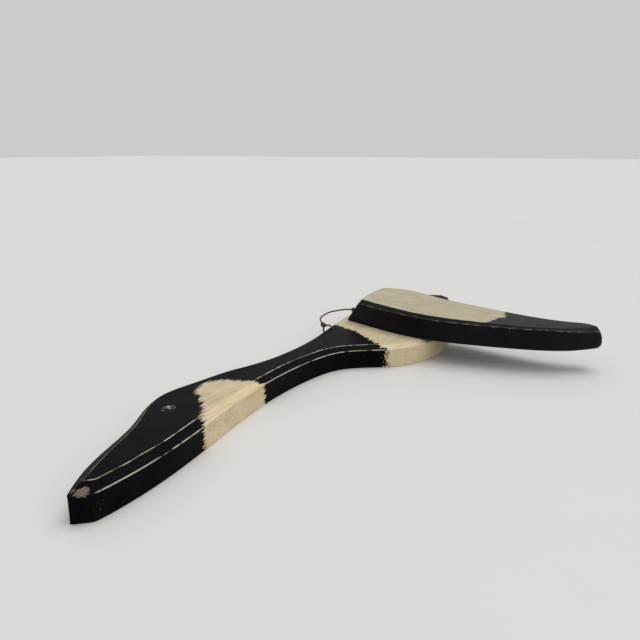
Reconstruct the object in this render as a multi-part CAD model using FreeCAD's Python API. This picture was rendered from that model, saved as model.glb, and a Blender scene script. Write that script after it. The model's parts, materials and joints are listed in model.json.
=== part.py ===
"""Flying goose decoy with one swinging wing, sawn from two boards.

The body lies on its flat back. Lengths are millimetres. The bird is drawn in plan with x running
from the bill tip towards the tail and y from the belly towards the back, and every piece is then
moved so that the row's origin is the centre of the bounding box's base.
"""

import FreeCAD
import Part
import math
import os

from FreeCAD import Vector

OUT = "parts"

# Boards
BOARD_THICK = 19.0
WING_ROOT_THICK = 24.0
WING_TIP_THICK = 19.0
WING_GAP = 0.4
ROOT_BEVEL_RUN = 16.0

# Board outline, as runs that meet at corners, anticlockwise: bill, belly, tail end, back
BILL_TIP = (-3.0, 1.5)
CHIN = (5.5, -8.0)
TAIL_LOW = (525.0, -9.0)
TAIL_HIGH = (511.0, 30.0)
FRONT_HOLE = (327.5, 40.8)
REAR_HOLE = (412.0, 49.0)
BOARD_RUNS = [
    [BILL_TIP, CHIN],
    [
        CHIN,
        (42.0, -9.0),
        (90.0, -4.0),
        (150.0, 5.5),
        (210.0, 9.0),
        (250.0, 5.5),
        (276.0, -3.0),
        (291.0, -18.0),
        (308.0, -40.0),
        (331.0, -54.0),
        (362.0, -60.0),
        (395.0, -57.0),
        (430.0, -46.0),
        (480.0, -28.0),
        TAIL_LOW,
    ],
    [TAIL_LOW, TAIL_HIGH],
    [
        TAIL_HIGH,
        (460.0, 44.0),
        REAR_HOLE,
        (370.0, 47.0),
        FRONT_HOLE,
        (284.0, 34.5),
        (236.0, 34.5),
        (208.0, 39.0),
        (182.0, 47.0),
        (152.0, 52.0),
        (123.0, 55.5),
        (107.0, 52.5),
        (75.0, 36.5),
        (36.0, 21.5),
        BILL_TIP,
    ],
]

# Chamfer round the painted face: its width along each run, and its depth on the belly and the back.
# On the back it is wide at the bill and narrows to its own width at the crown of the head.
CHAMFER_WIDE = [10.5, 7.5, 3.5, 2.2]
BACK_RUN = 3
BILL_BACK_CHAMFER_WIDE = 5.5
BILL_X = 30.0
CROWN_X = 110.0
BELLY_CHAMFER_DEEP = 3.0
BACK_CHAMFER_DEEP = 2.0
MIDLINE_RISE = 5.0

# Wing outline at its underside: round the blade, then along the root end
ROOT_FRONT = (362.5, 38.0)
ROOT_REAR = (404.0, 38.0)
WING_TIP_Y = -196.0
WING_RUNS = [
    [
        ROOT_FRONT,
        (353.0, 10.0),
        (343.0, -23.0),
        (338.0, -62.0),
        (344.0, -106.0),
        (353.0, -141.0),
        (366.0, -170.0),
        (379.5, -187.5),
        (390.0, WING_TIP_Y),
        (397.0, -187.5),
        (394.0, -168.0),
        (392.0, -143.0),
        (403.0, -80.0),
        (413.0, -43.0),
        (425.0, -15.0),
        (429.0, 5.0),
        (425.0, 24.0),
        ROOT_REAR,
    ],
    [ROOT_REAR, ROOT_FRONT],
]
WING_CHAMFER_ROOT = 4.0
WING_CHAMFER_BLADE = 1.8
WING_CHAMFER_TIP = 4.5
BLADE_SHARE = 0.85

# Wing pivot
PIVOT = (388.0, -3.0)
STUD_R = 3.0
BUSH_BORE_R = 3.05
BUSH_R = 4.5
BUSH_FLANGE_R = 7.0
BUSH_FLANGE_THICK = 1.5
COUNTERBORE_R = 13.0
COUNTERBORE_DEEP = 10.0
GLIDE = 0.1
INSERT_R = 5.0
INSERT_LONG = 13.0
WASHER_BORE_R = 3.2
FRICTION_WASHER_R = 15.0
RECESS_R = 15.3
FRICTION_WASHER_THICK = 1.4
BACK_WASHER_R = 9.0
BACK_WASHER_THICK = 1.6
DISC_SPRING_R = 6.3
DISC_SPRING_THICK = 0.5
DISC_SPRING_HIGH = 0.9
NUT_ACROSS_FLATS = 10.0
NUT_THICK = 5.0
NUT_COLLAR_R = 4.2
NUT_COLLAR_HIGH = 1.3
STUD_BELOW_NUT = 0.4
STUD_IN_WING = 15.0

# Eye
EYE = (103.5, 33.0)
EYE_HEAD_R = 2.8
EYE_HEAD_HIGH = 1.3
EYE_SHANK_R = 0.6
EYE_SHANK_LONG = 9.0

# Hanging wire: a ring through the board's edge at each end, and a bail between them. The bail
# leaves each ring at its own angle above the board, and turns each corner with its own radius.
WIRE_R = 0.8
RING_R = 5.0
TUNNEL_R = 1.3
WIRE_LEVEL = BOARD_THICK - BACK_CHAMFER_DEEP
FRONT_LEAVES_AT = 45.0
REAR_LEAVES_AT = 0.0
BAIL_CORNERS = [
    ((331.0, 49.0, 21.5), 5.0),
    ((352.0, 63.5, 20.5), 30.0),
    ((385.0, 71.0, 18.5), 25.0),
    ((410.0, 62.5, 17.5), 8.0),
]
TWIST_TURNS = 2.5
TWIST_PITCH = 1.75
TWIST_SLACK = 0.05

# Slack of a cutting solid past what it cuts
PAST = 5.0


def at(point, z=0.0):
    return Vector(point[0], point[1], z)


def smooth_edge(points):
    """One smooth edge through the points, or a straight one between two."""
    if len(points) == 2:
        return Part.LineSegment(points[0], points[1]).toShape()
    curve = Part.BSplineCurve()
    curve.interpolate(points)
    return curve.toShape()


def inward_normals(run):
    """The unit normal at each point of a plan run, to the left of the way it goes."""
    edge = smooth_edge([at(p) for p in run])
    normals = []
    for p in run:
        tangent = edge.tangentAt(edge.Curve.parameter(at(p)))
        normals.append(Vector(-tangent.y, tangent.x, 0))
    return normals


def corner_step(first, second):
    """The move of a corner whose two sides move by the given vectors, each along its normal."""
    cross = first.x * second.y - first.y * second.x
    a, b = first.dot(first), second.dot(second)
    return Vector((a * second.y - b * first.y) / cross, (b * first.x - a * second.x) / cross, 0)


def inset_runs(runs, width_at):
    """Each run moved inwards by width_at(run number, x, y), with its corners kept sharp."""
    steps = []
    for i, run in enumerate(runs):
        steps.append([n * width_at(i, *p) for n, p in zip(inward_normals(run), run)])
    corners = [corner_step(steps[i - 1][-1], steps[i][0]) for i in range(len(runs))]
    moved = []
    for i, run in enumerate(runs):
        own = [corners[i]] + steps[i][1:-1] + [corners[(i + 1) % len(runs)]]
        moved.append([(x + step.x, y + step.y) for (x, y), step in zip(run, own)])
    return moved


def ring(runs, height_at):
    """A closed wire over the plan runs, each point at height_at(x, y)."""
    return Part.Wire([smooth_edge([at(p, height_at(*p)) for p in run]) for run in runs])


def cylinder(radius, low, high, centre=(0.0, 0.0)):
    return Part.makeCylinder(radius, high - low, at(centre, low))


def tube(outer, inner, low, high, centre):
    return cylinder(outer, low, high, centre).cut(cylinder(inner, low - PAST, high + PAST, centre))


def hanger_axis():
    """The direction of the line that the hanging wire turns on, and its normal out of the board."""
    along = (at(REAR_HOLE) - at(FRONT_HOLE)).normalize()
    outward = Vector(-along.y, along.x, 0)
    return along, outward


def ring_centre(hole):
    _, outward = hanger_axis()
    return at(hole, WIRE_LEVEL) - outward * (CHAMFER_WIDE[BACK_RUN] / 2)


def ring_exit(hole, leaves_at):
    """Where the bail leaves a ring, and the way out from the ring's centre there."""
    _, outward = hanger_axis()
    turn = math.radians(leaves_at)
    way = outward * math.cos(turn) + Vector(0, 0, math.sin(turn))
    return ring_centre(hole) + way * RING_R


def hanger_rings(radius):
    """The two rings of the hanging wire, as tori of the given tube radius."""
    along, _ = hanger_axis()
    return [Part.makeTorus(RING_R, radius, ring_centre(h), along) for h in (FRONT_HOLE, REAR_HOLE)]


def rounded_path(start, corners, end):
    """Straight runs from start to end, with an arc of the given radius at each corner."""
    points = [start] + [Vector(*p) for p, _ in corners] + [end]
    edges, last = [], start
    for i, (_, radius) in enumerate(corners, 1):
        here = points[i]
        back = (points[i - 1] - here).normalize()
        ahead = (points[i + 1] - here).normalize()
        half = math.acos(back.dot(ahead)) / 2
        reach = radius / math.tan(half)
        enter, leave = here + back * reach, here + ahead * reach
        middle = here + (back + ahead).normalize() * (radius / math.sin(half) - radius)
        edges.append(Part.LineSegment(last, enter).toShape())
        edges.append(Part.Arc(enter, middle, leave).toShape())
        last = leave
    edges.append(Part.LineSegment(last, end).toShape())
    return Part.Wire(edges)


def swept_wire(path, start, direction):
    section = Part.Wire(Part.makeCircle(WIRE_R, start, direction))
    return path.makePipeShell([section], True, False)


def board_chamfer_wide(run, x):
    """The chamfer's width on a run at x."""
    if run != BACK_RUN:
        return CHAMFER_WIDE[run]
    share = min(1.0, max(0.0, (CROWN_X - x) / (CROWN_X - BILL_X)))
    return CHAMFER_WIDE[run] + (BILL_BACK_CHAMFER_WIDE - CHAMFER_WIDE[run]) * share


def board_chamfer_deep(x, y):
    """The chamfer's depth at a point of the outline, on either side of a line down the bird."""
    slope = (TAIL_HIGH[1] - BILL_TIP[1]) / (TAIL_HIGH[0] - BILL_TIP[0])
    is_back = y > BILL_TIP[1] + slope * (x - BILL_TIP[0]) + MIDLINE_RISE
    return BACK_CHAMFER_DEEP if is_back else BELLY_CHAMFER_DEEP


def make_body_board():
    """Head, neck, breast and tail in one plank, with its painted face's edges chamfered."""
    face_runs = inset_runs(BOARD_RUNS, lambda i, x, y: board_chamfer_wide(i, x))
    board = Part.makeLoft(
        [
            ring(BOARD_RUNS, lambda x, y: 0.0),
            ring(BOARD_RUNS, lambda x, y: BOARD_THICK - board_chamfer_deep(x, y)),
            ring(face_runs, lambda x, y: BOARD_THICK),
        ],
        True,
        True,
    )
    cuts = [
        cylinder(COUNTERBORE_R, -PAST, COUNTERBORE_DEEP, PIVOT),
        cylinder(BUSH_R, 0, BOARD_THICK + PAST, PIVOT),
        cylinder(EYE_SHANK_R, BOARD_THICK - EYE_SHANK_LONG, BOARD_THICK + PAST, EYE),
    ]
    for tool in cuts + hanger_rings(TUNNEL_R):
        board = board.cut(tool)
    return board


def make_eye_tack():
    """Domed tack head with its shank in the board."""
    sphere_r = (EYE_HEAD_R**2 + EYE_HEAD_HIGH**2) / (2 * EYE_HEAD_HIGH)
    centre_z = BOARD_THICK + EYE_HEAD_HIGH - sphere_r
    dome = Part.makeSphere(sphere_r, at(EYE, centre_z))
    dome = dome.common(cylinder(2 * EYE_HEAD_R, BOARD_THICK, BOARD_THICK + PAST, EYE))
    shank_top = BOARD_THICK + EYE_HEAD_HIGH / 2
    return dome.fuse(cylinder(EYE_SHANK_R, BOARD_THICK - EYE_SHANK_LONG, shank_top, EYE))


def make_pivot_bush():
    floor = COUNTERBORE_DEEP
    sleeve = tube(BUSH_R, BUSH_BORE_R, floor - BUSH_FLANGE_THICK, BOARD_THICK, PIVOT)
    flange = tube(BUSH_FLANGE_R, BUSH_BORE_R, floor - BUSH_FLANGE_THICK, floor, PIVOT)
    return sleeve.fuse(flange).removeSplitter()


def wing_share(y):
    """0 at the root of the wing and 1 at its tip."""
    return (ROOT_FRONT[1] - y) / (ROOT_FRONT[1] - WING_TIP_Y)


def wing_chamfer(y):
    """The width and depth of the wing's chamfer: it narrows along the blade and widens at the tip."""
    share = wing_share(y)
    if share < BLADE_SHARE:
        return WING_CHAMFER_ROOT + (WING_CHAMFER_BLADE - WING_CHAMFER_ROOT) * share / BLADE_SHARE
    past = (share - BLADE_SHARE) / (1 - BLADE_SHARE)
    return WING_CHAMFER_BLADE + (WING_CHAMFER_TIP - WING_CHAMFER_BLADE) * past


def wing_underside():
    return BOARD_THICK + WING_GAP


def wing_top_at(y):
    return wing_underside() + WING_ROOT_THICK + (WING_TIP_THICK - WING_ROOT_THICK) * wing_share(y)


def root_bevel_cutter():
    """A half-space that slopes the root end back towards the tip as it rises."""
    wide, high = 200.0, 80.0
    lean = math.degrees(math.atan2(ROOT_BEVEL_RUN, WING_ROOT_THICK))
    cutter = Part.makeBox(wide, high, high, Vector(-wide / 2, 0, -high / 2))
    cutter.rotate(Vector(0, 0, 0), Vector(1, 0, 0), lean)
    cutter.translate(Vector(PIVOT[0], ROOT_FRONT[1], wing_underside()))
    return cutter


def make_wing_board():
    """The wing: thinner towards the tip, a chamfer that runs out there, and a sloped root end."""
    wing = Part.makeLoft(
        [
            ring(WING_RUNS, lambda x, y: wing_underside()),
            ring(WING_RUNS, lambda x, y: wing_top_at(y) - wing_chamfer(y)),
            ring(inset_runs(WING_RUNS, lambda i, x, y: wing_chamfer(y)), lambda x, y: wing_top_at(y)),
        ],
        True,
        True,
    )
    washer_top = BOARD_THICK + GLIDE + FRICTION_WASHER_THICK
    cuts = [
        root_bevel_cutter(),
        cylinder(RECESS_R, 0, washer_top, PIVOT),
        cylinder(INSERT_R, 0, washer_top + INSERT_LONG, PIVOT),
        cylinder(STUD_R, 0, washer_top + STUD_IN_WING, PIVOT),
    ]
    for tool in cuts:
        wing = wing.cut(tool)
    return wing


def make_wing_hardware():
    """What turns with the wing on the pivot, from the insert in the wing down to the nut."""
    washer_low = BOARD_THICK + GLIDE
    washer_top = washer_low + FRICTION_WASHER_THICK
    flange_low = COUNTERBORE_DEEP - BUSH_FLANGE_THICK
    back_top = flange_low - GLIDE
    back_low = back_top - BACK_WASHER_THICK
    nut_top = back_low - DISC_SPRING_HIGH
    nut_low = nut_top - NUT_THICK
    return {
        "friction_washer": tube(FRICTION_WASHER_R, WASHER_BORE_R, washer_low, washer_top, PIVOT),
        "wing_insert": tube(INSERT_R, STUD_R, washer_top, washer_top + INSERT_LONG, PIVOT),
        "pivot_stud": cylinder(STUD_R, nut_low - STUD_BELOW_NUT, washer_top + STUD_IN_WING, PIVOT),
        "back_washer": tube(BACK_WASHER_R, WASHER_BORE_R, back_low, back_top, PIVOT),
        "disc_spring": make_disc_spring(nut_top),
        "lock_nut": make_lock_nut(nut_low, nut_top),
    }


def make_disc_spring(low):
    """A cone washer: its inner edge bears on the nut and its outer edge on the washer above."""
    rise = DISC_SPRING_HIGH - DISC_SPRING_THICK
    corners = [
        Vector(WASHER_BORE_R, 0, 0),
        Vector(DISC_SPRING_R, 0, rise),
        Vector(DISC_SPRING_R, 0, rise + DISC_SPRING_THICK),
        Vector(WASHER_BORE_R, 0, DISC_SPRING_THICK),
    ]
    profile = Part.Face(Part.makePolygon(corners + corners[:1]))
    spring = profile.revolve(Vector(0, 0, 0), Vector(0, 0, 1), 360)
    spring.translate(at(PIVOT, low))
    return spring


def make_lock_nut(low, high):
    """Hexagon nut with chamfered corners and a round locking collar below."""
    shoulder = low + NUT_COLLAR_HIGH
    across = NUT_ACROSS_FLATS / 2
    corner_r = NUT_ACROSS_FLATS / math.sqrt(3)
    corners = []
    for i in range(7):
        turn = math.radians(60 * i)
        corners.append(at(PIVOT, shoulder) + Vector(math.cos(turn), math.sin(turn), 0) * corner_r)
    body = Part.Face(Part.makePolygon(corners)).extrude(Vector(0, 0, high - shoulder))
    cone = Part.makeCone(across, 2 * across, across, at(PIVOT, shoulder))
    nut = body.common(cone).fuse(cylinder(NUT_COLLAR_R, low, shoulder, PIVOT))
    return nut.cut(cylinder(STUD_R, low - PAST, high + PAST, PIVOT))


def bail_ends():
    return ring_exit(FRONT_HOLE, FRONT_LEAVES_AT), ring_exit(REAR_HOLE, REAR_LEAVES_AT)


def make_hanger_wire():
    """The bail and its two end rings, bent from one wire."""
    start, end = bail_ends()
    first_corner = Vector(*BAIL_CORNERS[0][0])
    bail = swept_wire(rounded_path(start, BAIL_CORNERS, end), start, first_corner - start)
    for loop in hanger_rings(WIRE_R):
        bail = bail.fuse(loop)
    return bail


def make_wire_twist(start, toward):
    """The wire's tail, wound in a helix round the first stretch of the bail."""
    axis = (toward - start).normalize()
    helix = Part.makeHelix(TWIST_PITCH, TWIST_PITCH * TWIST_TURNS, 2 * WIRE_R + TWIST_SLACK)
    turn = helix.Edges[0]
    first = turn.valueAt(turn.FirstParameter)
    heading = turn.tangentAt(turn.FirstParameter)
    section = Part.Wire(Part.makeCircle(WIRE_R, first, heading))
    twist = Part.Wire(helix).makePipeShell([section], True, True)
    turned = FreeCAD.Rotation(Vector(0, 0, 1), axis)
    twist.Placement = FreeCAD.Placement(start + axis * TWIST_PITCH, turned)
    return twist


def make_parts():
    bail_start, bail_end = bail_ends()
    parts = {
        "body_board": make_body_board(),
        "eye_tack": make_eye_tack(),
        "pivot_bush": make_pivot_bush(),
        "wing_board": make_wing_board(),
        "hanger_wire": make_hanger_wire(),
        "front_wire_twist": make_wire_twist(bail_start, Vector(*BAIL_CORNERS[0][0])),
        "rear_wire_twist": make_wire_twist(bail_end, Vector(*BAIL_CORNERS[-1][0])),
    }
    parts.update(make_wing_hardware())
    return parts


def main():
    os.makedirs(OUT, exist_ok=True)
    parts = make_parts()
    box = FreeCAD.BoundBox()
    for shape in parts.values():
        box.add(shape.optimalBoundingBox(False, False))
    to_origin = Vector(-box.Center.x, -box.Center.y, 0)
    for name, shape in parts.items():
        shape.translate(to_origin)
        shape.exportStep(f"{OUT}/{name}.step")
        print(name, "valid", shape.isValid(), "solids", len(shape.Solids), "mm3", round(shape.Volume, 1))
    along, _ = hanger_axis()
    print("box", [round(v, 3) for v in (box.XLength, box.YLength, box.ZMin, box.ZMax)])
    print("origin shift", to_origin)
    print("pivot", at(PIVOT) + to_origin)
    print("hanger axis through", ring_centre(FRONT_HOLE) + to_origin, "along", along)


main()
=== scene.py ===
"""Looks for the painted wooden goose decoy: carved boards, worn paint, bent wire, pivot hardware.

Paint and wear are placed in plan millimetres from the bill: x towards the tail, y towards the
back, as in the model's drawing. bird() turns such a place into the row frame.
"""

import json
import math

import bmesh
import bpy
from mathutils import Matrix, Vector, geometry, kdtree, noise


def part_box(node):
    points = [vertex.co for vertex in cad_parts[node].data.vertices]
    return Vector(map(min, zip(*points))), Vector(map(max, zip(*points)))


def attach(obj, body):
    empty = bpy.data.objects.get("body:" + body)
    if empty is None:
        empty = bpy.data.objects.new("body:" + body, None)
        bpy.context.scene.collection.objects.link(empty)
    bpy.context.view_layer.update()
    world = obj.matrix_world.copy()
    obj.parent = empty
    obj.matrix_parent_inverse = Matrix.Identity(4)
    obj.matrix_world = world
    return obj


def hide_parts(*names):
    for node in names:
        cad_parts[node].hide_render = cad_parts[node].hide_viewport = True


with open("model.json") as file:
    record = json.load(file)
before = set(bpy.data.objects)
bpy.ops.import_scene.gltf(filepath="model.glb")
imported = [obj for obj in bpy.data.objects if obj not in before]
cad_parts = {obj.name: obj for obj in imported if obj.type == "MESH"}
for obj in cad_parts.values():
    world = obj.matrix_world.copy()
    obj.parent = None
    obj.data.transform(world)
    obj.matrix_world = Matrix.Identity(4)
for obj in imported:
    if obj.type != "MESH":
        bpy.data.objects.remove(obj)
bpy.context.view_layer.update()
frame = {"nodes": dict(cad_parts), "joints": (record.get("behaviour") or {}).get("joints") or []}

MM = 0.001
JOINTS = {joint["name"]: joint for joint in frame["joints"]}
PIVOT = Vector(JOINTS["wing_swing"]["pos_m"])
PIVOT_IN_PLAN = Vector((388.0, -3.0, 19.0))
NODES = frame["nodes"]

# Body board
BILL_TIP = (-3.0, 1.5, 19.0)
CHAMFER_WIDE = [10.5 * MM, 7.5 * MM, 3.5 * MM, 2.2 * MM]
BACK_RUN = 3
BILL_BACK_CHAMFER_WIDE = 5.5 * MM
BILL_X = 30.0
CROWN_X = 110.0
BELLY_CHAMFER_DEEP = 3.0 * MM
BACK_CHAMFER_DEEP = 2.0 * MM
BODY_CORNER_ROUNDS = (1, 4, 2, 2)
BODY_FOOT_ROUND = 0.5 * MM
PAINT_OVERLAP = 3.0 * MM
COUNTERBORE_R = 13.0 * MM
COUNTERBORE_DEEP = 10.0 * MM
BUSH_R = 4.5 * MM
TUNNEL_R = 1.3 * MM

# Wing board. Each chamfer width stands at its share of the way from the root to the tip
ROOT_FRONT_X = 362.5
ROOT_BOW_FROM = 357.0
ROOT_BOW_LONG = 45.0 * MM
WING_CHAMFERS = [(0.0, 4.0 * MM), (0.85, 1.8 * MM), (1.0, 3.6 * MM)]
WING_CORNER_ROUNDS = (2, 2, 5)
WING_FOOT_ROUND = 0.6 * MM
WING_ROOT_THICK = 24.0 * MM
WING_TIP_THICK = 19.0 * MM
ROOT_BEVEL_RUN = 16.0 * MM
ROOT_BOW = (-2.0 * MM, 3.0 * MM)
TIP_ROUND = 4.5 * MM
TIP_LEAN = 2.6 * MM
TIP_REACH = 24.0 * MM
RECESS_R = 15.3 * MM
RECESS_DEEP = 1.1 * MM
PAST = 5.0 * MM

# Hanging wire. Its ends leave their rings at these angles in degrees, front and rear
WIRE_R = 0.8 * MM
RING_R = 5.0 * MM
RING_STEPS = 46
RING_STEP = math.radians(7.2)
LEAVES_AT = (45.0, 0.0)
REAR_RING_X = 412.0
BAIL = [(331.0, 49.0, 21.5), (352.0, 63.5, 20.5), (385.0, 71.0, 18.5), (410.0, 62.5, 17.5)]
TWIST_TURNS = 2.5
TWIST_PITCH = 1.75 * MM
STEPS_A_TURN = 24

# Paint, in plan millimetres from the bill
CHEEK = [
    (93, -20), (98, -1), (118, 16), (138, 40), (152, 43), (164, 37), (172, 18), (181, 6), (183, -20),
]
BREAST = [(299, -80), (303, -28), (330, 11), (340, 36), (338, 60), (440, 60), (455, 0), (440, -80)]
WING_CREAM = [(330, -105), (356, -108), (375, -115), (420, -103), (450, 60), (330, 60)]
EYE = (103.5, 33.0)
CHEEK_STAIN = (95.0, -5.0, 2.0)
LINES_FROM = (-40.0, 0.0, 19.0)
BARE_BILL_TIP = (-3.0, -2.0, 17.0)
BILL_RUB = (1.5, -3.0, 17.5)
BILL_CHIPS = (4.0, -2.0, 12.0)
PAINT_REACH = 30.0
OFF_EDGE = (-PAINT_REACH, -PAINT_REACH, -1)

# Carving. A ring of points lies at each share of the way up the wall, over the rounded edge
# below the chamfer, and up the chamfer
STEP = 1.5 * MM
SETTLE = 25 * MM
TOOL_MARKS = 0.12 * MM
ARRIS_ROUND = 0.4 * MM
ARRIS_DROP = 0.06 * MM
WEB_INSET = 1.6 * MM
FACE_WEB = 2.6 * MM
BACK_WEB = 6.0 * MM
WALL_SHARES = (0.2, 0.4, 0.6, 0.8, 0.94)
ARRIS_SHARES = (-0.8, 0.1, 1.0)
CHAMFER_SHARES = (0.35, 0.6, 0.85)
SAME_PLACE = 1e-6
SAME_HEIGHT = 2e-5
SHARP = 0.1

# Camera and lamps: a place in plan millimetres, angles in degrees, and each lamp's name,
# direction, width in degrees and strength
CAMERA_PLACE = (-186.4, -256.5, 186.0)
CAMERA_HEADING = 30.71
CAMERA_PITCH = 15.0
SENSOR_WIDE = 36.0
LENS = 36.11
LAMPS = [
    ("overhead", (0.30, -0.14, 1.0), 50, 1.40),
    ("front_fill", (-0.45, -0.85, 0.45), 60, 0.40),
]
ROOM_STRENGTH = 0.60


def bird(x, y, z=0.0):
    """A place in the row frame from plan millimetres from the bill."""
    return PIVOT + (Vector((x, y, z)) - PIVOT_IN_PLAN) * MM


def smooth_noise(place, size, seed):
    """Noise from about -1 to 1 whose bumps are size metres wide."""
    return noise.noise(Vector(place) / size + Vector((seed, 2.0 * seed, 3.0 * seed)))


# Outlines


def level_loop(node, height):
    """The longest closed loop of a CAD node's sharp edges at one height, anticlockwise in plan."""
    mesh = bmesh.new()
    mesh.from_mesh(NODES[node].data)
    bmesh.ops.remove_doubles(mesh, verts=mesh.verts, dist=SAME_PLACE)
    mesh.verts.ensure_lookup_table()
    after = {}
    for edge in mesh.edges:
        level = all(abs(v.co.z - height) < SAME_HEIGHT for v in edge.verts)
        if level and len(edge.link_faces) == 2 and edge.calc_face_angle(0.0) > SHARP:
            a, b = (v.index for v in edge.verts)
            after.setdefault(a, []).append(b)
            after.setdefault(b, []).append(a)
    loops = []
    while after:
        here = next(iter(after))
        loop = []
        while here in after:
            loop.append(mesh.verts[here].co.to_2d())
            onward = [n for n in after.pop(here) if n in after]
            here = onward[0] if onward else None
        loops.append(loop)
    mesh.free()
    loop = max(loops, key=lambda points: sum((a - b).length for a, b in zip(points, points[1:])))
    area = sum(a.x * b.y - a.y * b.x for a, b in zip(loop, loop[1:] + loop[:1]))
    return loop if area > 0 else loop[::-1]


def split_runs(loop, corner_count, first):
    """The loop cut at its sharpest corners, starting at the corner nearest to first."""
    count = len(loop)

    def turn(i):
        return (loop[i] - loop[i - 1]).angle_signed(loop[(i + 1) % count] - loop[i], 0.0)

    corners = sorted(sorted(range(count), key=lambda i: -abs(turn(i)))[:corner_count])
    start = min(corners, key=lambda i: (loop[i] - first).length)
    corners = corners[corners.index(start):] + corners[:corners.index(start)]
    runs = []
    for a, b in zip(corners, corners[1:] + corners[:1]):
        steps = (b - a) % count
        runs.append([loop[(a + k) % count] for k in range(steps + 1)])
    return runs


def resample(run, step):
    """The smooth line through a run's points, at even steps."""
    lengths = [0.0]
    for a, b in zip(run, run[1:]):
        lengths.append(lengths[-1] + (b - a).length)
    last = len(run) - 1
    tangents = []
    for i in range(last + 1):
        a, b = max(i - 1, 0), min(i + 1, last)
        tangents.append((run[b] - run[a]) / (lengths[b] - lengths[a]))
    count = max(4, round(lengths[-1] / step))
    points, i = [], 0
    for k in range(count + 1):
        at = lengths[-1] * k / count
        while i < last - 1 and lengths[i + 1] < at:
            i += 1
        span = lengths[i + 1] - lengths[i]
        t = (at - lengths[i]) / span
        points.append(
            run[i] * (2 * t**3 - 3 * t**2 + 1)
            + tangents[i] * span * (t**3 - 2 * t**2 + t)
            + run[i + 1] * (3 * t**2 - 2 * t**3)
            + tangents[i + 1] * span * (t**3 - t**2)
        )
    return points


def run_normals(run):
    """Unit normals along a run, to the left of the way it goes."""
    normals = []
    for i in range(len(run)):
        along = (run[min(i + 1, len(run) - 1)] - run[max(i - 1, 0)]).normalized()
        normals.append(Vector((-along.y, along.x)))
    return normals


def inset(runs, width_at):
    """The runs moved inwards by width_at(run number, point), their ends drawn to mitred corners."""
    moves = [[n * width_at(i, p) for n, p in zip(run_normals(run), run)] for i, run in enumerate(runs)]
    corners = []
    for i in range(len(runs)):
        a, b = moves[i - 1][-1], moves[i][0]
        cross = a.x * b.y - a.y * b.x
        if abs(cross) < 1e-12:
            corners.append(b.copy())
            continue
        corners.append(Vector((a.dot(a) * b.y - b.dot(b) * a.y, b.dot(b) * a.x - a.dot(a) * b.x)) / cross)
    moved = []
    for i, run in enumerate(runs):
        first = corners[i] - moves[i][0]
        final = corners[(i + 1) % len(runs)] - moves[i][-1]
        length = sum((b - a).length for a, b in zip(run, run[1:]))
        reach = min(SETTLE, length)
        gone, points = 0.0, []
        for k, point in enumerate(run):
            gone += (point - run[k - 1]).length if k else 0.0
            near_first = max(0.0, 1 - gone / reach)
            near_final = max(0.0, 1 - (length - gone) / reach)
            power = 1 if length <= SETTLE else 2
            points.append(point + moves[i][k] + first * near_first**power + final * near_final**power)
        moved.append(points)
    return moved


def ring_points(runs):
    return [point for run in runs for point in run[:-1]]


# Meshes


def add_ring(mesh, plan, heights):
    return [mesh.verts.new((p.x, p.y, z)) for p, z in zip(plan, heights)]


def bridge(mesh, low, high):
    count = len(low)
    for i in range(count):
        j = (i + 1) % count
        mesh.faces.new((low[i], low[j], high[j], high[i]))


def fill(mesh, rim, step, height_at):
    """Closes a ring with a web of evenly spread points."""
    edge = [v.co.to_2d() for v in rim]
    low = Vector((min(p.x for p in edge), min(p.y for p in edge)))
    high = Vector((max(p.x for p in edge), max(p.y for p in edge)))
    spots = []
    rows = int((high.y - low.y) / step)
    columns = int((high.x - low.x) / step)
    for r in range(1, rows):
        for c in range(1, columns):
            spots.append(Vector((low.x + (c + 0.5 * (r % 2)) * step, low.y + r * step)))
    tree = kdtree.KDTree(len(edge))
    for i, p in enumerate(edge):
        tree.insert(p.to_3d(), i)
    tree.balance()
    inner = []
    for p in spots:
        near, i, distance = tree.find(p.to_3d())
        along = edge[(i + 1) % len(edge)] - edge[i - 1]
        inside = along.x * (p.y - edge[i].y) - along.y * (p.x - edge[i].x) > 0
        if inside and distance > 0.6 * step:
            inner.append(p)
    loop = list(range(len(edge)))
    points, _, faces, origins, _, _ = geometry.delaunay_2d_cdt(edge + inner, [], [loop], 1, 1e-7)
    made = []
    for p, origin in zip(points, origins):
        if origin and origin[0] < len(rim):
            made.append(rim[origin[0]])
        else:
            made.append(mesh.verts.new((p.x, p.y, height_at(p))))
    for face in faces:
        corners = [made[k] for k in face]
        if len(set(corners)) == len(corners) and not mesh.faces.get(corners):
            mesh.faces.new(corners)


def signed_distance(point, polygon):
    """Distance to a polygon's edge, above 0 inside it."""
    best, inside = 1e9, False
    for a, b in zip(polygon, polygon[1:] + polygon[:1]):
        side = b - a
        t = max(0.0, min(1.0, (point - a).dot(side) / side.length_squared))
        best = min(best, (point - a - side * t).length)
        if (a.y > point.y) != (b.y > point.y):
            if point.x < a.x + (point.y - a.y) / (b.y - a.y) * (b.x - a.x):
                inside = not inside
    return best if inside else -best


def make_piece(name, mesh):
    bmesh.ops.recalc_face_normals(mesh, faces=mesh.faces)
    data = bpy.data.meshes.new(name)
    mesh.to_mesh(data)
    mesh.free()
    piece = bpy.data.objects.new(name, data)
    bpy.context.scene.collection.objects.link(piece)
    return piece


def write_attributes(piece, values):
    """Writes each named list of values, one per vertex, to the piece's mesh."""
    for name, numbers in values.items():
        layer = piece.data.attributes.new(name, "FLOAT", "POINT")
        layer.data.foreach_set("value", numbers)


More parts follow.
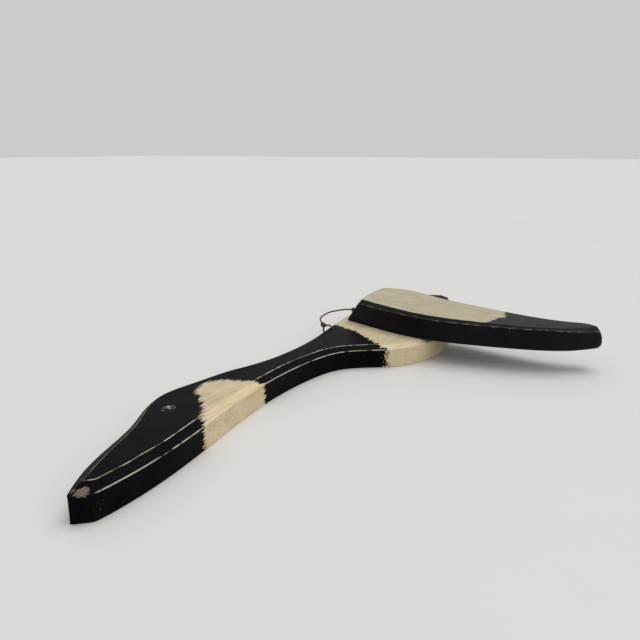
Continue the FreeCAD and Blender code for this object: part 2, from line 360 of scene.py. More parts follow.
def cut(piece, cutters, values):
    """Takes the cutters out of a piece, and gives each vertex the values of the nearest old one."""
    tree = kdtree.KDTree(len(piece.data.vertices))
    for i, vertex in enumerate(piece.data.vertices):
        tree.insert(vertex.co, i)
    tree.balance()
    for cutter in cutters:
        modifier = piece.modifiers.new("cut", "BOOLEAN")
        modifier.operation = "DIFFERENCE"
        modifier.solver = "EXACT"
        modifier.object = cutter
    graph = bpy.context.evaluated_depsgraph_get()
    data = bpy.data.meshes.new_from_object(piece.evaluated_get(graph))
    piece.modifiers.clear()
    piece.data = data
    for cutter in cutters:
        bpy.data.objects.remove(cutter)
    nearest = [tree.find(vertex.co)[1] for vertex in data.vertices]
    return {name: [numbers[i] for i in nearest] for name, numbers in values.items()}


def cylinder_cutter(centre, radius, low, high):
    mesh = bmesh.new()
    bmesh.ops.create_cone(
        mesh, cap_ends=True, segments=96, radius1=radius, radius2=radius, depth=high - low
    )
    bmesh.ops.translate(mesh, verts=mesh.verts, vec=(centre.x, centre.y, (low + high) / 2))
    return make_piece("cutter", mesh)


def ring_cutter(centre, along, outward):
    """The curved hole that one ring of the hanging wire runs through."""
    around, across = 96, 24
    mesh = bmesh.new()
    rows = []
    for i in range(around):
        angle = 2 * math.pi * i / around
        way = outward * math.cos(angle) + Vector((0, 0, math.sin(angle)))
        row = []
        for k in range(across):
            turn = 2 * math.pi * k / across
            reach = RING_R + TUNNEL_R * math.cos(turn)
            row.append(mesh.verts.new(centre + way * reach + along * TUNNEL_R * math.sin(turn)))
        rows.append(row)
    for i in range(around):
        bridge(mesh, rows[i], rows[(i + 1) % around])
    return make_piece("cutter", mesh)


def shade(piece, degrees):
    """Smooth shading, except across edges sharper than the angle."""
    piece.data.polygons.foreach_set("use_smooth", [True] * len(piece.data.polygons))
    piece.data.set_sharp_from_angle(angle=math.radians(degrees))


# Boards


def hanger_frame():
    """The front and rear ring centres, the hinge line's direction and the way out of the board."""
    joint = JOINTS["hanger_swing"]
    along = Vector(joint["axis"]).normalized()
    outward = Vector((-along.y, along.x, 0.0))
    front = Vector(joint["pos_m"])
    rear_x = bird(REAR_RING_X, 0.0).x - outward.x * CHAMFER_WIDE[BACK_RUN] / 2
    rear = front + along * ((rear_x - front.x) / along.x)
    return front, rear, along, outward


def soften(points, corners):
    """The closed line with corners rounded off, given each one's place in it and rounds of smoothing."""
    points, count = list(points), len(points)
    for corner, rounds in corners:
        window = [i % count for i in range(corner - rounds - 2, corner + rounds + 3)]
        for _ in range(rounds):
            moved = [(points[i - 1] + points[i] * 2 + points[(i + 1) % count]) / 4 for i in window]
            for i, p in zip(window, moved):
                points[i] = p
    return points


def closed_normals(points):
    """Unit normals into a closed anticlockwise line."""
    normals = []
    for i in range(len(points)):
        along = (points[(i + 1) % len(points)] - points[i - 1]).normalized()
        normals.append(Vector((-along.y, along.x)))
    return normals


def side_tags(rings, low_row, high_row, first_side):
    """For each side vertex, its distance past the chamfer's lower and upper edge, and its column."""
    tags = {}
    for column in range(len(rings[0])):
        lengths = [0.0]
        for low, high in zip(rings, rings[1:]):
            lengths.append(lengths[-1] + (high[column].co - low[column].co).length)
        for row in range(first_side, len(rings)):
            past_low = (lengths[row] - lengths[low_row]) / MM
            past_high = (lengths[row] - lengths[high_row]) / MM
            tags[rings[row][column]] = (past_low, past_high, column)
    return tags


def carve(runs, width, corners, base, deep, top_at, foot_round, lean, sole):
    """A chamfered board, and the tags of its side vertices.

    Where sole isn't zero, an extra ring lies that far inside the outline on the underside.
    """
    outline = soften(ring_points(runs), corners)
    face_runs = inset(runs, width)
    face = soften(ring_points(face_runs), corners)
    web = soften(ring_points(inset(face_runs, lambda i, p: WEB_INSET)), corners)
    normals = closed_normals(outline)
    edge = [top_at(p.y) - d for p, d in zip(outline, deep)]
    feet = [foot_round(p.y) for p in outline]
    brow = [p + n * lean(p.y) for p, n in zip(outline, normals)]
    mesh = bmesh.new()
    rings = []
    if sole:
        inner = soften(ring_points(inset(runs, lambda i, p: sole)), corners)
        rings.append(add_ring(mesh, inner, [base] * len(inner)))
    for quarter in range(4):
        turn = math.radians(30 * quarter)
        plan = [p + n * foot * (1 - math.sin(turn)) for p, n, foot in zip(outline, normals, feet)]
        rings.append(add_ring(mesh, plan, [base + foot * (1 - math.cos(turn)) for foot in feet]))
    for share in WALL_SHARES:
        heights = [base + foot + (e - base - foot) * share for foot, e in zip(feet, edge)]
        plan = [
            p + (b - p) * share**2.5 + n * TOOL_MARKS * (1 + smooth_noise((p.x, p.y, z), 8 * MM, 7.7))
            for p, b, n, z in zip(outline, brow, normals, heights)
        ]
        rings.append(add_ring(mesh, plan, heights))
    low_row = len(rings) + 1
    for share in ARRIS_SHARES:
        plan, heights = [], []
        for p, f, e, d in zip(brow, face, edge, deep):
            reach = max(share, 0.0) * ARRIS_ROUND / max((f - p).length, ARRIS_ROUND)
            plan.append(p + (f - p) * reach)
            heights.append(e + min(share, 0.0) * ARRIS_ROUND + d * reach)
        rings.append(add_ring(mesh, plan, heights))
    for share in CHAMFER_SHARES:
        plan = [p + (f - p) * share for p, f in zip(brow, face)]
        heights = [e + (top_at(f.y) - e) * share for e, f in zip(edge, face)]
        rings.append(add_ring(mesh, plan, heights))
    high_row = len(rings)
    rings.append(add_ring(mesh, face, [top_at(p.y) - ARRIS_DROP for p in face]))
    near = [f + (w - f) * 0.3 for f, w in zip(face, web)]
    for plan in (near, web):
        rings.append(add_ring(mesh, plan, [top_at(p.y) for p in plan]))
    for low, high in zip(rings, rings[1:]):
        bridge(mesh, low, high)
    tags = side_tags(rings, low_row, high_row, 1 if sole else 0)
    fill(mesh, rings[-1], FACE_WEB, lambda p: top_at(p.y))
    fill(mesh, rings[0], BACK_WEB, lambda p: base)
    return mesh, tags


def patch_share(point, patches):
    """Distance into the nearest patch, in millimetres, up to PAINT_REACH either way."""
    into = max(signed_distance(point, patch) for patch in patches) / MM
    return max(-PAINT_REACH, min(PAINT_REACH, into))


def run_starts(runs):
    """Where each run starts in the closed line of them all."""
    return [sum(len(run) - 1 for run in runs[:i]) for i in range(len(runs))]


def edge_values(mesh, tags, middle):
    """The distances past the chamfer's two edges, for every vertex, and 1 on the underside."""
    values = {"low_edge": [], "high_edge": [], "underside": []}
    for vertex in mesh.verts:
        above = vertex.co.z > middle
        low_edge, high_edge, _ = tags.get(vertex, (PAINT_REACH, PAINT_REACH, 0) if above else OFF_EDGE)
        values["low_edge"].append(low_edge)
        values["high_edge"].append(high_edge)
        values["underside"].append(1.0 if vertex not in tags and not above else 0.0)
    return values


def chamfer_wide(run, point):
    """The body's chamfer width: on the back it narrows from the bill to the crown."""
    wide = CHAMFER_WIDE[run]
    if run == BACK_RUN:
        x = (point.x - PIVOT.x) / MM + PIVOT_IN_PLAN.x
        share = min(1.0, max(0.0, (CROWN_X - x) / (CROWN_X - BILL_X)))
        wide += (BILL_BACK_CHAMFER_WIDE - wide) * share
    return wide * (1 + 0.08 * smooth_noise(point.to_3d(), 16 * MM, 4.1))


def body_chamfer_deep(runs):
    """The chamfer's depth at each point of the outline, shallower along the back."""
    deep = []
    for i, run in enumerate(runs):
        for k in range(len(run) - 1):
            off_corner = min(1.0, min(k, len(run) - 1 - k) * STEP / SETTLE)
            mix = off_corner if i == BACK_RUN else 0.0
            deep.append(BELLY_CHAMFER_DEEP + (BACK_CHAMFER_DEEP - BELLY_CHAMFER_DEEP) * mix)
    return deep


def make_body():
    low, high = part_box("body_board")
    runs = split_runs(level_loop("body_board", low.z), 4, bird(*BILL_TIP).to_2d())
    runs = [resample(run, STEP) for run in runs]
    corners = list(zip(run_starts(runs), BODY_CORNER_ROUNDS))
    deep = body_chamfer_deep(runs)
    mesh, tags = carve(
        runs,
        chamfer_wide,
        corners,
        low.z,
        deep,
        top_at=lambda y: high.z,
        foot_round=lambda y: BODY_FOOT_ROUND,
        lean=lambda y: 0.0,
        sole=PAINT_OVERLAP,
    )
    values = edge_values(mesh, tags, (low.z + high.z) / 2)
    back_start = run_starts(runs)[BACK_RUN]
    patches = [[bird(*p).to_2d() for p in patch] for patch in (CHEEK, BREAST)]
    values["back_side"] = [1.0 if tags.get(v, OFF_EDGE)[2] >= back_start else 0.0 for v in mesh.verts]
    values["cream"] = [patch_share(v.co.to_2d(), patches) for v in mesh.verts]
    piece = make_piece("carved_body", mesh)
    front, rear, along, outward = hanger_frame()
    cutters = [
        cylinder_cutter(PIVOT, COUNTERBORE_R, -PAST, COUNTERBORE_DEEP),
        cylinder_cutter(PIVOT, BUSH_R, 0.0, high.z + PAST),
        ring_cutter(front, along, outward),
        ring_cutter(rear, along, outward),
    ]
    write_attributes(piece, cut(piece, cutters, values))
    shade(piece, 14)
    return piece


def wing_chamfer(share):
    """The wing's chamfer width, and its depth, at a share of the way from the root to the tip."""
    for (a, wide_a), (b, wide_b) in zip(WING_CHAMFERS, WING_CHAMFERS[1:]):
        if share <= b:
            return wide_a + (wide_b - wide_a) * max(0.0, share - a) / (b - a)
    return WING_CHAMFERS[-1][1]


def make_wing():
    low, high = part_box("wing_board")
    root_x = bird(ROOT_BOW_FROM, 0.0).x
    root_front = Vector((bird(ROOT_FRONT_X, 0.0).x, high.y))
    runs = split_runs(level_loop("wing_board", low.z), 2, root_front)
    runs = [resample(run, STEP) for run in runs]

    def share(y):
        return (high.y - y) / (high.y - low.y)

    def top_at(y):
        return low.z + WING_ROOT_THICK + (WING_TIP_THICK - WING_ROOT_THICK) * share(y)

    def near_tip(y):
        return max(0.0, 1 - (y - low.y) / TIP_REACH) ** 1.5

    def foot_round(y):
        return WING_FOOT_ROUND + TIP_ROUND * near_tip(y)

    def lean(y):
        return TIP_LEAN * near_tip(y)

    def width(run, point):
        wavy = 1 + 0.1 * smooth_noise(point.to_3d(), 15 * MM, 2.2)
        return wing_chamfer(share(point.y)) * wavy + lean(point.y)

    def root_limit(x, z):
        """The furthest y at a place on the sloped root end, which bows out towards its rear."""
        rise = (z - low.z) / WING_ROOT_THICK
        along = min(1.0, max(0.0, (x - root_x) / ROOT_BOW_LONG))
        bow = ROOT_BOW[0] + (ROOT_BOW[1] - ROOT_BOW[0]) * math.sin(along * math.pi / 2)
        return high.y - (ROOT_BEVEL_RUN - bow) * rise

    outline = ring_points(runs)
    tip = min(range(len(outline)), key=lambda i: outline[i].y)
    corners = list(zip(run_starts(runs) + [tip], WING_CORNER_ROUNDS))
    deep = [wing_chamfer(share(p.y)) for p in outline]
    mesh, tags = carve(runs, width, corners, low.z, deep, top_at, foot_round, lean, 0.0)
    values = edge_values(mesh, tags, low.z + WING_ROOT_THICK / 2)
    patch = [bird(*p).to_2d() for p in WING_CREAM]
    values["cream"] = [patch_share(v.co.to_2d(), [patch]) for v in mesh.verts]
    values["root_end"] = []
    for vertex, high_edge in zip(mesh.verts, values["high_edge"]):
        limit = root_limit(vertex.co.x, vertex.co.z)
        past_root = vertex.co.y > limit
        vertex.co.y = min(vertex.co.y, limit)
        values["root_end"].append(1.0 if past_root and high_edge < -0.3 else 0.0)
    piece = make_piece("carved_wing", mesh)
    recess = cylinder_cutter(PIVOT, RECESS_R, low.z - PAST, low.z + RECESS_DEEP)
    write_attributes(piece, cut(piece, [recess], values))
    clean(piece)
    shade(piece, 14)
    return piece


def clean(piece):
    """Drops faces with no area, which the sloped root end leaves where points meet."""
    mesh = bmesh.new()
    mesh.from_mesh(piece.data)
    bmesh.ops.remove_doubles(mesh, verts=mesh.verts, dist=0.02 * MM)
    bmesh.ops.dissolve_degenerate(mesh, dist=0.02 * MM, edges=mesh.edges)
    mesh.to_mesh(piece.data)
    mesh.free()


# Hanging wire


def relax(points, rounds):
    """The open line smoothed, with its ends kept."""
    for _ in range(rounds):
        inner = [(a + b + c * 2) / 4 for a, b, c in zip(points, points[2:], points[1:])]
        points = points[:1] + inner + points[-1:]
    return points


def wire_end(centre, along, outward, leaves_at, toward):
    """One end of the wire, from the bail round its ring and out along the wound tail."""
    start_way = outward * math.cos(leaves_at) + Vector((0, 0, math.sin(leaves_at)))
    start = centre + start_way * RING_R
    axis = (toward - start).normalized()
    side = axis.cross(along).normalized()
    other = axis.cross(side)
    points = []
    for i in range(1, RING_STEPS + 1):
        angle = leaves_at + RING_STEP * i
        way = outward * math.cos(angle) + Vector((0, 0, math.sin(angle)))
        points.append(centre + way * RING_R)
    radius = 2 * WIRE_R + 0.05 * MM
    first = points[-1] - start
    phase = math.atan2(first.dot(other), first.dot(side))
    for i in range(round(STEPS_A_TURN * TWIST_TURNS) + 1):
        angle = phase + 2 * math.pi * i / STEPS_A_TURN
        reach = TWIST_PITCH * (0.35 + i / STEPS_A_TURN) + 0.2 * MM * math.sin(0.3 * i)
        points.append(start + axis * reach + (side * math.cos(angle) + other * math.sin(angle)) * radius)
    return start, points


def make_wire():
    front, rear, along, outward = hanger_frame()
    corners = [bird(*p) for p in BAIL]
    start, front_end = wire_end(front, along, outward, math.radians(LEAVES_AT[0]), corners[0])
    finish, rear_end = wire_end(rear, along, outward, math.radians(LEAVES_AT[1]), corners[-1])
    bends = [start] + corners + [finish]
    bail = []
    for a, b in zip(bends, bends[1:]):
        pieces = max(3, round((b - a).length / MM))
        bail += [a + (b - a) * k / pieces for k in range(pieces)]
    bail.append(finish)
    bail = relax(bail, 60)
    bail = [p + Vector((0, 0.25, 0.2)) * MM * smooth_noise(p, 9 * MM, 5.0) for p in bail]
    path = relax(list(reversed(front_end)) + bail + rear_end, 2)
    curve = bpy.data.curves.new("wire_line", "CURVE")
    curve.dimensions = "3D"
    curve.bevel_depth = WIRE_R
    curve.bevel_resolution = 5
    curve.use_fill_caps = True
    spline = curve.splines.new("POLY")
    spline.points.add(len(path) - 1)
    for point, p in zip(spline.points, path):
        point.co = (*p, 1.0)
    line = bpy.data.objects.new("wire_line", curve)
    bpy.context.scene.collection.objects.link(line)
    graph = bpy.context.evaluated_depsgraph_get()
    data = bpy.data.meshes.new_from_object(line.evaluated_get(graph))
    bpy.data.objects.remove(line)
    piece = bpy.data.objects.new("hanging_wire", data)
    bpy.context.scene.collection.objects.link(piece)
    shade(piece, 40)
    return piece


# Materials


class Look:
    """A node material, built from small steps."""

    def __init__(self, name):
        self.material = bpy.data.materials.new(name)
        self.material.use_nodes = True
        self.nodes = self.material.node_tree.nodes
        self.links = self.material.node_tree.links
        self.shader = self.nodes["Principled BSDF"]
        coords = self.nodes.new("ShaderNodeTexCoord")
        scale = self.nodes.new("ShaderNodeVectorMath")
        scale.operation = "SCALE"
        scale.inputs["Scale"].default_value = 1 / MM
        self.links.new(coords.outputs["Object"], scale.inputs[0])
        self.place = scale.outputs[0]

    def put(self, socket, value):
        if isinstance(value, bpy.types.NodeSocket):
            self.links.new(value, socket)
        elif isinstance(value, tuple) and len(value) == 3 and socket.type == "RGBA":
            socket.default_value = (*value, 1.0)
        else:
            socket.default_value = value

    def math(self, operation, a, b=0.0):
        node = self.nodes.new("ShaderNodeMath")
        node.operation = operation
        self.put(node.inputs[0], a)
        self.put(node.inputs[1], b)
        return node.outputs[0]

    def add(self, a, b):
        return self.math("ADD", a, b)

    def less(self, a, b):
        return self.math("SUBTRACT", a, b)

    def either(self, a, b):
        return self.math("MAXIMUM", a, b)

    def off(self, value):
        return self.math("ABSOLUTE", value)

    def times(self, first, *rest):
        for value in rest:
            first = self.math("MULTIPLY", first, value)
        return first

    def stretch(self, scales, offset=(0.0, 0.0, 0.0)):
        """The place in millimetres, moved by the offset and scaled along each axis."""
        node = self.nodes.new("ShaderNodeMapping")
        node.vector_type = "TEXTURE"
        self.put(node.inputs["Vector"], self.place)
        node.inputs["Location"].default_value = offset
        node.inputs["Scale"].default_value = scales
        return node.outputs[0]

    def noise(self, size, detail=3.0, offset=(0.0, 0.0, 0.0), rough=0.55):
        """Noise whose bumps are size millimetres, one number or one for each axis."""
        sizes = size if isinstance(size, tuple) else (size, size, size)
        node = self.nodes.new("ShaderNodeTexNoise")
        self.put(node.inputs["Vector"], self.stretch(sizes, offset))
        node.inputs["Scale"].default_value = 1.0
        node.inputs["Detail"].default_value = detail
        node.inputs["Roughness"].default_value = rough
        return node.outputs["Fac"]

    def swing(self, size, offset):
        """Noise from about -0.5 to 0.5."""
        return self.less(self.noise(size, 2.0, offset), 0.5)

    def attribute(self, name):
        node = self.nodes.new("ShaderNodeAttribute")
        node.attribute_name = name
        return node.outputs["Fac"]

    def rise(self, value, low, high):
        """0 below low, 1 above high and smooth between them. low above high turns it round."""
        node = self.nodes.new("ShaderNodeMapRange")
        node.interpolation_type = "SMOOTHSTEP"
        self.put(node.inputs["Value"], value)
        turned = low > high
        self.put(node.inputs["From Min"], min(low, high))
        self.put(node.inputs["From Max"], max(low, high))
        self.put(node.inputs["To Min"], 1.0 if turned else 0.0)
        self.put(node.inputs["To Max"], 0.0 if turned else 1.0)
        return node.outputs["Result"]

    def mix(self, share, a, b):
        node = self.nodes.new("ShaderNodeMix")
        node.data_type = "RGBA"
        self.put(node.inputs["Factor"], share)
        self.put(node.inputs[6], a)
        self.put(node.inputs[7], b)
        return node.outputs[2]

    def distance(self, place, radii=(1.0, 1.0, 1.0)):
        """Distance from a plan place in units of the radii, in millimetres."""
        offset = tuple(v / MM for v in bird(*place))
        node = self.nodes.new("ShaderNodeVectorMath")
        node.operation = "LENGTH"
        self.put(node.inputs[0], self.stretch(radii, offset))
        return node.outputs["Value"]

    def finish(self, colour, roughness, bump=None, bump_mm=0.1, **fixed):
        self.put(self.shader.inputs["Base Color"], colour)
        self.put(self.shader.inputs["Roughness"], roughness)
        for name, value in fixed.items():
            self.shader.inputs[name.replace("_", " ")].default_value = value
        if bump is not None:
            node = self.nodes.new("ShaderNodeBump")
            node.inputs["Strength"].default_value = 1.0
            node.inputs["Distance"].default_value = bump_mm * MM
            self.put(node.inputs["Height"], bump)
            self.links.new(node.outputs["Normal"], self.shader.inputs["Normal"])
        return self.material


BLACK = (0.0022, 0.0022, 0.0030)
DUSTY_BLACK = (0.0050, 0.0051, 0.0062)
# A greyer black: worn and dusty black paint, and on the wing's chamfer a painted sheen
WORN_AND_SHEEN_BLACK = (0.013, 0.013, 0.015)
# Cream paint: its own colour, its dark grain and dirt, and its pale brush marks
BODY_CREAM = [(0.54, 0.455, 0.295), (0.33, 0.25, 0.15), (0.62, 0.55, 0.40)]
# The chamfer and wall copy of the body's cream is lighter and warmer: painted light on the sides that
# catch more of the lamps
WALL_CREAM_PAINTED_LIGHT = [(0.64, 0.52, 0.33), (0.44, 0.31, 0.17), (0.70, 0.60, 0.42)]
WING_CREAM_TONES = [(0.43, 0.385, 0.26), (0.24, 0.20, 0.12), (0.50, 0.46, 0.34)]
PRIMER = (0.52, 0.47, 0.37)
BARE = (0.12, 0.085, 0.055)
RUBBED = (0.21, 0.17, 0.13)
STAIN = (0.30, 0.12, 0.02)
LID = (0.30, 0.30, 0.29)
RAW_WOOD = (0.42, 0.29, 0.17)
RAW_WOOD_DARK = (0.26, 0.16, 0.09)
SAW_MARKS = (0.50, 0.38, 0.25)
BODY_GLOSS = 0.02
WING_GLOSS = 0.10


def grey(value):
    return (value, value, value)


class PaintedWood(Look):
    """Worn black and cream paint on wood whose grain runs along one axis."""

    def __init__(self, name, axis):
        super().__init__(name)
        self.streak = self.noise(self.along_grain(axis, 38.0, 1.1), 4.0)
        self.brush = self.noise(self.along_grain(axis, 14.0, 0.45), 2.0, (7.0, 3.0, 1.0))
        self.cloud = self.noise(17.0, 3.0, (31.0, 5.0, 2.0))
        self.fine = self.noise(0.7, 2.0, (3.0, 9.0, 4.0))

    def along_grain(self, axis, length, across):
        """Noise sizes for streaks that run along one axis."""
        return tuple(length if i == axis else across for i in range(3))

    def light_paint(self, tones):
        """Cream paint with grain that shows through, brush marks and specks of dirt."""
        cream, dark, pale = tones
        colour = self.mix(self.times(self.rise(self.cloud, 0.35, 0.7), 0.6), cream, pale)
        colour = self.mix(self.times(self.rise(self.streak, 0.46, 0.70), 0.5), colour, dark)
        colour = self.mix(self.times(self.rise(self.brush, 0.52, 0.72), 0.45), colour, pale)
        colour = self.mix(self.times(self.rise(self.brush, 0.40, 0.30), 0.35), colour, dark)
        return self.mix(self.times(self.rise(self.fine, 0.66, 0.74), 0.5), colour, dark)

    def dark_paint(self):
        colour = self.mix(self.rise(self.cloud, 0.3, 0.75), BLACK, DUSTY_BLACK)
        return self.mix(self.times(self.rise(self.brush, 0.6, 0.8), 0.35), colour, WORN_AND_SHEEN_BLACK)

    def ragged_cream(self, teeth, fuzz, fuzz_reach):
        """Distance into the cream patches, in millimetres, with a brushed edge."""
        rag = self.add(self.times(teeth, 12.0), self.times(fuzz, fuzz_reach))
        return self.add(self.attribute("cream"), rag)

    def line(self, distance, half_wide, broken, broken_at):
        """A worn line along an edge, from the signed distance to it and a noise that breaks it up."""
        wide = self.times(self.rise(broken, broken_at, broken_at + 0.18), half_wide)
        return self.rise(self.less(self.off(distance), wide), 0.25, -0.25)

    def relief(self):
        """The height of the wood grain and brush marks under the paint."""
        marks = self.add(self.times(self.brush, 0.5), self.times(self.fine, 0.25))
        return self.add(self.times(self.streak, 0.8), marks)


def body_lines(look, black):
    """Worn lines along both edges of the belly's chamfer, and a faint one along the bill's back."""
    low, high = look.attribute("low_edge"), look.attribute("high_edge")
    back = look.attribute("back_side")
    belly = look.less(1.0, back)
    worn = look.noise(5.0, 3.0, (2.0, 13.0, 8.0))
    nicks = look.noise(6.0, 3.0, (8.0, 1.0, 5.0))
    neck = look.rise(look.distance(LINES_FROM), 372.0, 360.0)
    bill = look.rise(look.distance(BILL_TIP), 150.0, 120.0)
    off_tip = look.rise(look.distance(BARE_BILL_TIP), 10.5, 13.5)
    low_line = look.times(look.line(low, 0.45, worn, 0.32), belly, neck, black)
    high_line = look.times(look.line(high, 0.36, nicks, 0.36), belly, neck, black)
    brow = look.times(look.line(high, 0.28, worn, 0.34), back, bill, 0.45)
    return look.either(look.times(look.either(low_line, high_line), off_tip), brow)


def stain_cheek(look, paint, cream, teeth):
    """A rusty spill at the foot of the cheek patch."""
    spill = look.add(look.distance(CHEEK_STAIN, grey(9.0)), look.times(teeth, 1.6))
    return look.mix(look.times(look.rise(spill, 1.0, 0.25), cream, 0.85), paint, STAIN)


def wear_lines(look, paint, lines):
    """Pale primer shows along the lines, and bare wood in places."""
    patchy = look.noise(30.0, 2.0, (11.0, 3.0, 8.0))
    under = look.mix(look.times(look.rise(patchy, 0.48, 0.6), 0.6), PRIMER, BARE)
    return look.mix(look.times(lines, 0.9), paint, under)


def wear_bill(look, paint, teeth):
    """The bill's tip is rubbed to the wood, with small chips round it."""
    rub = look.add(look.distance(BILL_RUB, (6.0, 5.0, 2.6)), look.times(teeth, 1.5))
    near_tip = look.rise(look.distance(BILL_CHIPS), 18.0, 8.0)
    chips = look.times(look.rise(look.noise(1.3, 2.0, (5.0, 5.0, 9.0)), 0.71, 0.75), near_tip)
    rubbed = look.mix(look.rise(look.brush, 0.35, 0.7), BARE, RUBBED)
    return look.mix(look.either(look.rise(rub, 1.05, 0.8), chips), paint, rubbed)


def fleck(look, paint, black):
    """Pale flecks on the black."""
    spots = look.rise(look.noise(2.6, 1.0, (15.0, 5.0, 9.0)), 0.79, 0.81)
    return look.mix(look.times(spots, black, 0.6), paint, PRIMER)


def draw_lid(look, paint):
    """A thin broken oval round the eye."""
    oval = look.distance((EYE[0] - 0.3, EYE[1] - 0.4, 19.0), (4.9, 3.7, 4.0))
    lid = look.rise(look.off(look.less(oval, 1.0)), 0.11, 0.05)
    broken = look.rise(look.noise(3.0, 1.0, (3.0, 3.0, 3.0)), 0.38, 0.5)
    return look.mix(look.times(lid, broken, 0.55), paint, LID)


def bare_back(look):
    """The unpainted back: growth rings, smears of black and faint saw marks."""
    rings = look.noise((60.0, 2.2, 2.2), 4.0, (9.0, 9.0, 2.0))
    wood = look.mix(look.rise(rings, 0.35, 0.65), RAW_WOOD, RAW_WOOD_DARK)
    smudges = look.add(look.noise((46.0, 14.0, 14.0), 3.0, (1.0, 8.0, 2.0)), look.times(look.streak, 0.2))
    wood = look.mix(look.times(look.rise(smudges, 0.74, 0.84), 0.5), wood, WORN_AND_SHEEN_BLACK)
    saw = look.noise((1.6, 30.0, 30.0), 2.0, (5.0, 1.0, 2.0))
    return look.mix(look.times(look.rise(saw, 0.5, 0.7), 0.08), wood, SAW_MARKS)


def body_paint():
    look = PaintedWood("body_paint", 0)
    under = look.attribute("underside")
    teeth = look.swing((30.0, 1.6, 2.0), (1.0, 2.0, 3.0))
    fuzz = look.swing((16.0, 0.5, 0.6), (4.0, 2.0, 3.0))
    cream = look.rise(look.ragged_cream(teeth, fuzz, 7.0), -0.5, 0.8)
    black = look.less(1.0, cream)
    # On the chamfer and wall the cream takes its lighter, warmer copy: painted light on the body's sides
    on_wall = look.rise(look.attribute("high_edge"), 0.5, -1.5)
    light = look.mix(on_wall, look.light_paint(BODY_CREAM), look.light_paint(WALL_CREAM_PAINTED_LIGHT))
    lines = body_lines(look, black)
    paint = look.mix(cream, look.dark_paint(), light)
    paint = stain_cheek(look, paint, cream, teeth)
    paint = wear_lines(look, paint, lines)
    paint = wear_bill(look, paint, teeth)
    paint = fleck(look, paint, black)
    paint = draw_lid(look, paint)
    overlap = look.add(under, look.times(fuzz, 0.8))
    colour = look.mix(look.rise(overlap, 0.45, 0.6), paint, bare_back(look))
    rough = look.mix(cream, grey(0.40), grey(0.62))
    rough = look.mix(look.either(lines, under), rough, grey(0.8))
    bump = look.less(look.relief(), look.times(lines, 0.6))
    return look.finish(colour, rough, bump, 0.12, Specular_IOR_Level=BODY_GLOSS)


def wing_paint():
    look = PaintedWood("wing_paint", 1)
    low, high = look.attribute("low_edge"), look.attribute("high_edge")
    teeth = look.swing((2.0, 30.0, 3.0), (1.0, 2.0, 3.0))
    fuzz = look.swing((0.7, 16.0, 1.0), (4.0, 2.0, 3.0))
    in_patch = look.rise(look.ragged_cream(teeth, fuzz, 6.0), -0.8, 1.6)
    on_face = look.rise(look.add(high, look.add(look.times(teeth, 2.0), -0.2)), -0.25, 0.25)
    off_root = look.rise(look.attribute("root_end"), 0.7, 0.3)
    cream = look.times(in_patch, on_face, off_root)
    black = look.less(1.0, cream)
    paint = look.mix(cream, look.dark_paint(), look.light_paint(WING_CREAM_TONES))
    # The black on the wing's chamfer is painted greyer: painted sheen where the sloped face catches the
    # light
    chamfer_sheen = look.times(look.rise(low, 0.0, 0.4), look.rise(high, 0.3, -0.1))
    paint = look.mix(look.times(chamfer_sheen, black, 0.7), paint, WORN_AND_SHEEN_BLACK)
    line = look.times(look.line(low, 0.26, look.noise(7.0, 3.0, (2.0, 13.0, 8.0)), 0.42), black)
    spots = look.rise(look.noise((1.2, 2.6, 1.2), 2.0, (5.0, 5.0, 9.0)), 0.66, 0.70)
    chips = look.times(spots, look.rise(look.off(low), 2.2, 0.6))
    paint = look.mix(look.times(look.either(line, chips), 0.4), paint, PRIMER)
    under_paint = look.mix(look.rise(look.streak, 0.45, 0.7), DUSTY_BLACK, WORN_AND_SHEEN_BLACK)
    colour = look.mix(look.rise(look.attribute("underside"), 0.4, 0.6), paint, under_paint)
    rough = look.mix(cream, grey(0.42), grey(0.62))
    return look.finish(colour, rough, look.relief(), 0.14, Specular_IOR_Level=WING_GLOSS)


def metal(name, base, dark, roughness, size, metallic=1.0):
    """Dull metal with stains, fine scratches and rough patches."""
    look = Look(name)
    stain = look.noise(size, 4.0)
    scratch = look.noise((size * 2, 0.15, 0.15), 2.0, (3.0, 1.0, 2.0))
    colour = look.mix(look.rise(stain, 0.4, 0.68), base, dark)
    rough = look.mix(look.rise(stain, 0.3, 0.7), grey(roughness), grey(min(1.0, roughness + 0.3)))
    bump = look.add(stain, look.times(scratch, 0.4))
    return look.finish(colour, rough, bump, 0.05, Metallic=metallic)


def gloss_black():
    """The eye's enamel, with a pale spot painted on top of the dome as a highlight."""
    look = Look("eye_enamel")
    speck = look.noise(0.6, 2.0)
    colour = look.mix(look.rise(speck, 0.55, 0.75), (0.004, 0.004, 0.005), (0.02, 0.018, 0.016))
    # A pale spot on the top of the dome: a painted highlight
    painted_highlight = look.rise(look.distance((EYE[0] - 0.4, EYE[1] - 0.2, 20.3), grey(0.9)), 1.0, 0.7)
    colour = look.mix(painted_highlight, colour, (0.55, 0.54, 0.50))
    rough = look.mix(speck, grey(0.06), grey(0.22))
    return look.finish(colour, rough, speck, 0.01, Coat_Weight=0.6)


def waxed_leather():
    """The friction washer's leather."""
    look = Look("waxed_leather")
    grain = look.noise(0.8, 4.0)
    colour = look.mix(look.rise(grain, 0.35, 0.7), (0.16, 0.08, 0.035), (0.08, 0.04, 0.02))
    return look.finish(colour, look.mix(grain, grey(0.5), grey(0.75)), grain, 0.08)


def wear(piece, material):
    piece.data.materials.clear()
    piece.data.materials.append(material)


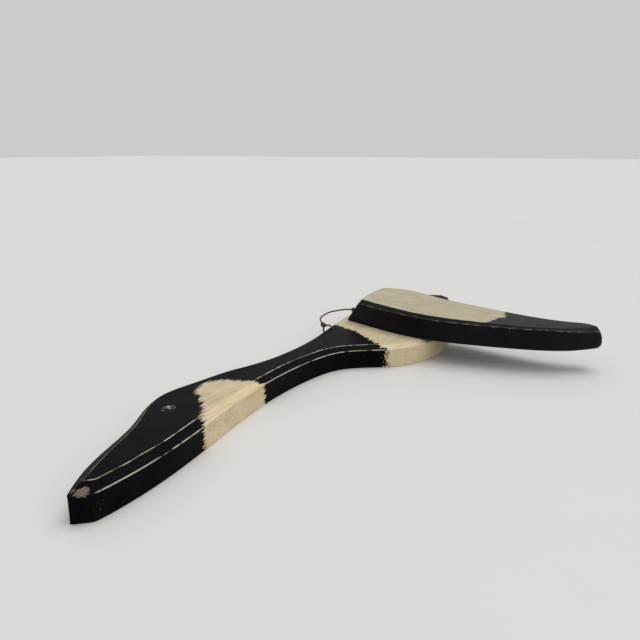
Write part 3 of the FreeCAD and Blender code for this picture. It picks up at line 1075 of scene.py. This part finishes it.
def dress_nodes():
    """Better materials on the CAD nodes that stay as they are."""
    zinc = metal("dull_zinc", (0.42, 0.42, 0.41), (0.22, 0.2, 0.17), 0.38, 2.5)
    brass = metal("dull_brass", (0.48, 0.34, 0.13), (0.2, 0.13, 0.06), 0.4, 2.5)
    spring = metal("dark_spring_steel", (0.16, 0.15, 0.14), (0.07, 0.05, 0.04), 0.42, 2.0)
    looks = {
        "eye_tack": gloss_black(),
        "friction_washer": waxed_leather(),
        "pivot_bush": brass,
        "wing_insert": brass,
        "pivot_stud": zinc,
        "back_washer": zinc,
        "lock_nut": zinc,
        "disc_spring": spring,
    }
    for node, material in looks.items():
        wear(NODES[node], material)


# Stage


def make_floor():
    mesh = bmesh.new()
    bmesh.ops.create_grid(mesh, x_segments=2, y_segments=2, size=12.0)
    bmesh.ops.translate(mesh, verts=mesh.verts, vec=(0.0, 0.0, -0.1 * MM))
    floor = make_piece("floor", mesh)
    look = Look("pale_table")
    cloud = look.noise(160.0, 3.0)
    grain = look.noise(1.5, 2.0, (3.0, 3.0, 0.0))
    colour = look.mix(cloud, (0.64, 0.64, 0.625), (0.68, 0.68, 0.665))
    floor.data.materials.append(look.finish(colour, 0.6, grain, 0.02))


def soft_light(name, toward, degrees_wide, strength):
    """A far lamp in the given direction, as wide as a window or a ceiling panel."""
    lamp = bpy.data.lights.new(name, "SUN")
    lamp.angle = math.radians(degrees_wide)
    lamp.energy = strength
    lamp.color = (1.0, 0.985, 0.96)
    light = bpy.data.objects.new(name, lamp)
    light.rotation_euler = Vector(toward).to_track_quat("Z", "Y").to_euler()
    bpy.context.scene.collection.objects.link(light)


def make_lights():
    """A wide lamp high above, a weak one in front of the bird, and a pale room round it."""
    for lamp in LAMPS:
        soft_light(*lamp)
    world = bpy.data.worlds.new("soft_room")
    world.use_nodes = True
    background = world.node_tree.nodes["Background"]
    background.inputs["Color"].default_value = (0.985, 0.99, 1.0, 1.0)
    background.inputs["Strength"].default_value = ROOM_STRENGTH
    bpy.context.scene.world = world


def make_camera():
    """A low three-quarter view from ahead of the bill."""
    camera = bpy.data.cameras.new("camera")
    camera.sensor_width = SENSOR_WIDE
    camera.lens = LENS
    eye = bpy.data.objects.new("camera", camera)
    eye.location = bird(*CAMERA_PLACE)
    heading, pitch = math.radians(CAMERA_HEADING), math.radians(CAMERA_PITCH)
    level = math.cos(pitch)
    look = Vector((level * math.cos(heading), level * math.sin(heading), -math.sin(pitch)))
    eye.rotation_euler = look.to_track_quat("-Z", "Y").to_euler()
    bpy.context.scene.collection.objects.link(eye)
    bpy.context.scene.camera = eye


make_camera()
make_lights()
make_floor()

body = make_body()
wear(body, body_paint())
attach(body, "body")
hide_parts("body_board")

wing = make_wing()
wear(wing, wing_paint())
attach(wing, "wing")
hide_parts("wing_board")

wire = make_wire()
wear(wire, metal("rusty_wire", (0.075, 0.045, 0.035), (0.16, 0.075, 0.045), 0.6, 1.6, 0.4))
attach(wire, "hanger")
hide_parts("hanger_wire", "front_wire_twist", "rear_wire_twist")

dress_nodes()
bpy.context.scene.view_settings.view_transform = "Standard"
